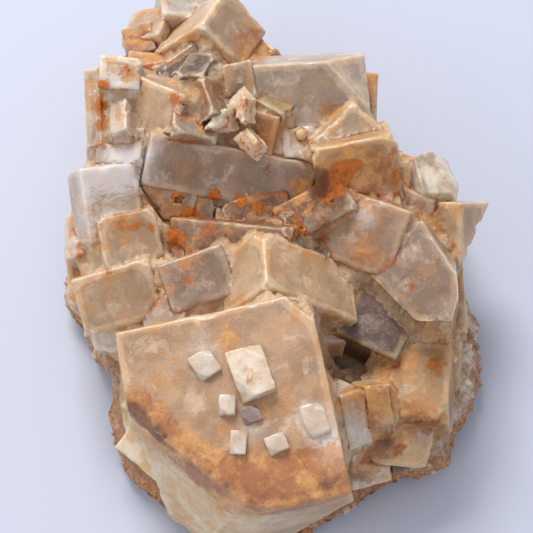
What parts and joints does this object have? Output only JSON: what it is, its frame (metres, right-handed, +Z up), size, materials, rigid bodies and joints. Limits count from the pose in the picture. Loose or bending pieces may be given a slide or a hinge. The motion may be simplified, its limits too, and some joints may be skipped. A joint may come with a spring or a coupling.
{
  "type": "fluorite cluster",
  "caption": "Mineral hand specimen: cloudy, rust-stained cubes of fluorite grown through each other on a flat-footed crust of host rock.",
  "frame": {"origin": "middle of the specimen's box, on the surface it rests on", "axes": "+Z up, +Y away from the biggest cube, towards the peak at the back, +X to the right when the biggest cube is in front"},
  "size_m": [0.0806, 0.1116, 0.0401],
  "materials": {
    "fluorite": "satin, cloudy translucent",
    "host_rock": "rough, granular",
    "resin_yellow": "glossy",
    "clear_fluorite": "glossy, clear",
    "cream_mineral": "satin",
    "late_crystals": "satin"
  },
  "bodies": {
    "root": {"fluorite_mass": "fluorite", "host_rock": "host_rock", "resin_grain": "resin_yellow", "clear_crystal": "clear_fluorite", "cream_blade_left": "cream_mineral", "cream_blade_right": "cream_mineral", "cream_stem": "cream_mineral", "perched_white": "late_crystals", "perched_big": "late_crystals", "perched_bud": "late_crystals", "perched_lilac": "late_crystals", "perched_low": "late_crystals", "perched_corner": "late_crystals", "perched_right": "late_crystals"}
  },
  "joints": []
}
